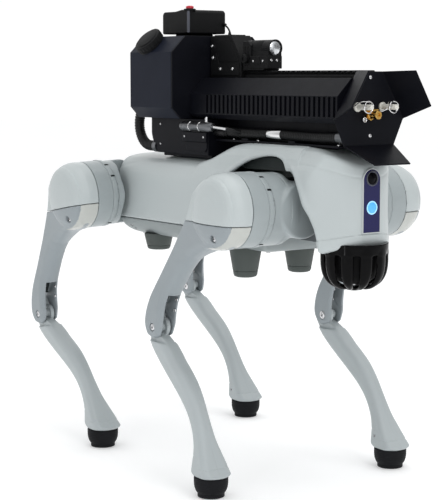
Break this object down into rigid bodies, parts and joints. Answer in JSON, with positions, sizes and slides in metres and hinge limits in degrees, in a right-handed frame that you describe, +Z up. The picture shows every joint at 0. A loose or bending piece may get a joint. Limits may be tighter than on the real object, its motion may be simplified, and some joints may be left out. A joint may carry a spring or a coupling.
{
  "type": "quadruped robot dog",
  "caption": "Four-legged walking robot standing with bent knees, round head lamp and lidar under the head, carrying a closed black display payload on its back.",
  "frame": {"origin": "on the ground under the middle of the standing robot", "axes": "+X forward along the trunk, +Y to the robot's left, +Z up"},
  "size_m": [0.6724, 0.3466, 0.6308],
  "materials": {
    "cover_grey": "satin moulded cover, light cool grey",
    "alloy_grey": "satin powder-coated casting, light cool grey",
    "pad_grey": "dark grey-green moulded pad",
    "steel": "plain machined steel",
    "chassis_metal": "bead-blasted plate",
    "battery_case": "dark battery case",
    "board": "solder-masked board",
    "window_navy": "gloss navy window",
    "lens_black": "black coated lens",
    "lamp_blue": "lit blue lens",
    "gloss_black": "polished black",
    "coat_black": "fine-textured black-navy powder coat",
    "matt_black": "matt black moulding",
    "hose_black": "corrugated black hose",
    "ceramic": "white glazed ceramic with wire",
    "red": "red button",
    "rod_black": "blackened steel",
    "rubber_black": "black rubber foot"
  },
  "bodies": {
    "root": {"chassis_frame": "chassis_metal", "hip_roll_motors": "steel", "top_shell": "cover_grey", "belly_shell": "cover_grey", "belly_pads": "pad_grey", "battery_pack": "battery_case", "control_board": "board", "head_shell": "cover_grey", "face_window": "window_navy", "camera_lens": "lens_black", "head_lamp": "lamp_blue", "lidar_dome": "gloss_black", "lidar_guard": "gloss_black", "body_screws": "steel", "payload_base": "coat_black", "payload_block": "coat_black", "reservoir_shell": "coat_black", "reservoir_cap": "matt_black", "barrel_shroud": "coat_black", "top_rail": "coat_black", "rail_lamp": "matt_black", "power_pod": "matt_black", "front_shroud": "coat_black", "tip_posts": "ceramic", "hoses": "hose_black", "payload_screws": "steel", "pod_lead": "hose_black"},
    "button": {"pod_button": "red"},
    "hip_fr": {"hip_link_fr": "alloy_grey"},
    "thigh_fr": {"thigh_frame_fr": "alloy_grey", "thigh_cover_fr": "cover_grey", "leg_pins_fr": "steel"},
    "crank_fr": {"crank_fr": "steel"},
    "calf_fr": {"calf_fr": "alloy_grey", "foot_fr": "rubber_black"},
    "rod_fr": {"push_rod_fr": "rod_black"},
    "hip_fl": {"hip_link_fl": "alloy_grey"},
    "thigh_fl": {"thigh_frame_fl": "alloy_grey", "thigh_cover_fl": "cover_grey", "leg_pins_fl": "steel"},
    "crank_fl": {"crank_fl": "steel"},
    "calf_fl": {"calf_fl": "alloy_grey", "foot_fl": "rubber_black"},
    "rod_fl": {"push_rod_fl": "rod_black"},
    "hip_rr": {"hip_link_rr": "alloy_grey"},
    "thigh_rr": {"thigh_frame_rr": "alloy_grey", "thigh_cover_rr": "cover_grey", "leg_pins_rr": "steel"},
    "crank_rr": {"crank_rr": "steel"},
    "calf_rr": {"calf_rr": "alloy_grey", "foot_rr": "rubber_black"},
    "rod_rr": {"push_rod_rr": "rod_black"},
    "hip_rl": {"hip_link_rl": "alloy_grey"},
    "thigh_rl": {"thigh_frame_rl": "alloy_grey", "thigh_cover_rl": "cover_grey", "leg_pins_rl": "steel"},
    "crank_rl": {"crank_rl": "steel"},
    "calf_rl": {"calf_rl": "alloy_grey", "foot_rl": "rubber_black"},
    "rod_rl": {"push_rod_rl": "rod_black"}
  },
  "joints": [
    {"name": "roll_fr", "type": "hinge", "parent": "root", "child": "hip_fr", "pos_m": [0.176, -0.0555, 0.3667], "axis": [1, 0, 0], "range_deg": [-27.4, 28.6]},
    {"name": "pitch_fr", "type": "hinge", "parent": "hip_fr", "child": "thigh_fr", "pos_m": [0.176, -0.14699, 0.36766], "axis": [0, 0.9999, -0.0105], "range_deg": [-130.5, 59.5]},
    {"name": "knee_fr", "type": "hinge", "parent": "thigh_fr", "child": "calf_fr", "pos_m": [0.03572, -0.14871, 0.20342], "axis": [0, 0.9999, -0.0105], "range_deg": [-82.63, 25.37]},
    {"name": "crank_spin_fr", "type": "hinge", "parent": "thigh_fr", "child": "crank_fr", "pos_m": [0.176, -0.14699, 0.36766], "axis": [0, 0.9999, -0.0105], "range_deg": [-83.63, 26.37]},
    {"name": "rod_pivot_fr", "type": "hinge", "parent": "calf_fr", "child": "rod_fr", "pos_m": [0.02753, -0.14849, 0.22491], "axis": [0, 0.9999, -0.0105], "range_deg": [-26.37, 83.63]},
    {"name": "roll_fl", "type": "hinge", "parent": "root", "child": "hip_fl", "pos_m": [0.176, 0.0335, 0.3667], "axis": [-1, 0, 0], "range_deg": [-26.5, 29.5]},
    {"name": "pitch_fl", "type": "hinge", "parent": "hip_fl", "child": "thigh_fl", "pos_m": [0.176, 0.12497, 0.3691], "axis": [0, 0.9997, 0.0262], "range_deg": [-126.5, 63.5]},
    {"name": "knee_fl", "type": "hinge", "parent": "thigh_fl", "child": "calf_fl", "pos_m": [0.04752, 0.12951, 0.19552], "axis": [0, 0.9997, 0.0262], "range_deg": [-82.98, 25.02]},
    {"name": "crank_spin_fl", "type": "hinge", "parent": "thigh_fl", "child": "crank_fl", "pos_m": [0.176, 0.12497, 0.3691], "axis": [0, 0.9997, 0.0262], "range_deg": [-83.98, 26.02]},
    {"name": "rod_pivot_fl", "type": "hinge", "parent": "calf_fl", "child": "rod_fl", "pos_m": [0.03797, 0.12897, 0.21644], "axis": [0, 0.9997, 0.0262], "range_deg": [-26.02, 83.98]},
    {"name": "roll_rr", "type": "hinge", "parent": "root", "child": "hip_rr", "pos_m": [-0.194, -0.0555, 0.3667], "axis": [1, 0, 0], "range_deg": [-30.8, 25.2]},
    {"name": "pitch_rr", "type": "hinge", "parent": "hip_rr", "child": "thigh_rr", "pos_m": [-0.194, -0.14689, 0.36223], "axis": [0, 0.9988, 0.0488], "range_deg": [-35.3, 199.7]},
    {"name": "knee_rr", "type": "hinge", "parent": "thigh_rr", "child": "calf_rr", "pos_m": [-0.30298, -0.13778, 0.17596], "axis": [0, 0.9988, 0.0488], "range_deg": [-81.23, 26.77]},
    {"name": "crank_spin_rr", "type": "hinge", "parent": "thigh_rr", "child": "crank_rr", "pos_m": [-0.194, -0.14689, 0.36223], "axis": [0, 0.9988, 0.0488], "range_deg": [-82.23, 27.77]},
    {"name": "rod_pivot_rr", "type": "hinge", "parent": "calf_rr", "child": "rod_rr", "pos_m": [-0.31533, -0.13873, 0.19534], "axis": [0, 0.9988, 0.0488], "range_deg": [-27.77, 82.23]},
    {"name": "roll_rl", "type": "hinge", "parent": "root", "child": "hip_rl", "pos_m": [-0.194, 0.0335, 0.3667], "axis": [-1, 0, 0], "range_deg": [-23.6, 32.4]},
    {"name": "pitch_rl", "type": "hinge", "parent": "hip_rl", "child": "thigh_rl", "pos_m": [-0.194, 0.12473, 0.37372], "axis": [0, 0.9971, 0.0767], "range_deg": [-38.8, 196.2]},
    {"name": "knee_rl", "type": "hinge", "parent": "thigh_rl", "child": "calf_rl", "pos_m": [-0.31416, 0.1385, 0.19476], "axis": [0, 0.9971, 0.0767], "range_deg": [-85.54, 22.46]},
    {"name": "crank_spin_rl", "type": "hinge", "parent": "thigh_rl", "child": "crank_rl", "pos_m": [-0.194, 0.12473, 0.37372], "axis": [0, 0.9971, 0.0767], "range_deg": [-86.54, 23.46]},
    {"name": "rod_pivot_rl", "type": "hinge", "parent": "calf_rl", "child": "rod_rl", "pos_m": [-0.32376, 0.1369, 0.2156], "axis": [0, 0.9971, 0.0767], "range_deg": [-23.46, 86.54]},
    {"name": "button_press", "type": "slide", "parent": "root", "child": "button", "axis": [0, 0, -1], "range_m": [0, 0.0015], "stiffness_N_per_m": 600, "springref_m": -0.002}
  ],
  "couplings": [
    {"joint": "crank_spin_fr", "follows": "knee_fr", "ratio": 1},
    {"joint": "rod_pivot_fr", "follows": "knee_fr", "ratio": -1},
    {"joint": "crank_spin_fl", "follows": "knee_fl", "ratio": 1},
    {"joint": "rod_pivot_fl", "follows": "knee_fl", "ratio": -1},
    {"joint": "crank_spin_rr", "follows": "knee_rr", "ratio": 1},
    {"joint": "rod_pivot_rr", "follows": "knee_rr", "ratio": -1},
    {"joint": "crank_spin_rl", "follows": "knee_rl", "ratio": 1},
    {"joint": "rod_pivot_rl", "follows": "knee_rl", "ratio": -1}
  ]
}
